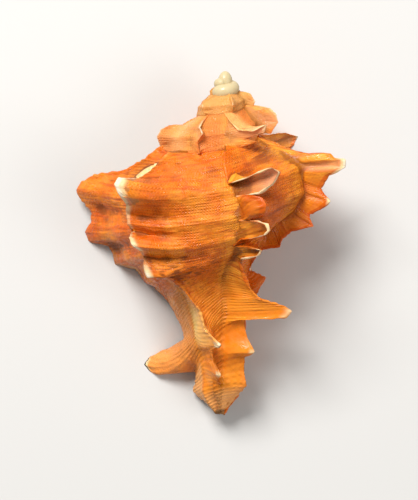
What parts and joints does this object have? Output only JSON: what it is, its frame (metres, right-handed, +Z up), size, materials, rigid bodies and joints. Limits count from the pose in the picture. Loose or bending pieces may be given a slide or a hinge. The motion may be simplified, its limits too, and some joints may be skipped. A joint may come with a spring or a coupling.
{
  "type": "murex shell",
  "caption": "Spiny spiral sea shell, orange with pale tips, with flared varices, hollow spines, a stepped spire and a long canal, lying on its aperture side.",
  "frame": {"origin": "on the ground, under the middle of the shell's bounding box", "axes": "+X to the right of the shell seen from its back, +Y towards the apex of the spire, +Z up from the ground"},
  "size_m": [0.0268, 0.0346, 0.0176],
  "materials": {
    "shell": "satin"
  },
  "bodies": {
    "root": {"shell": "shell"}
  },
  "joints": []
}
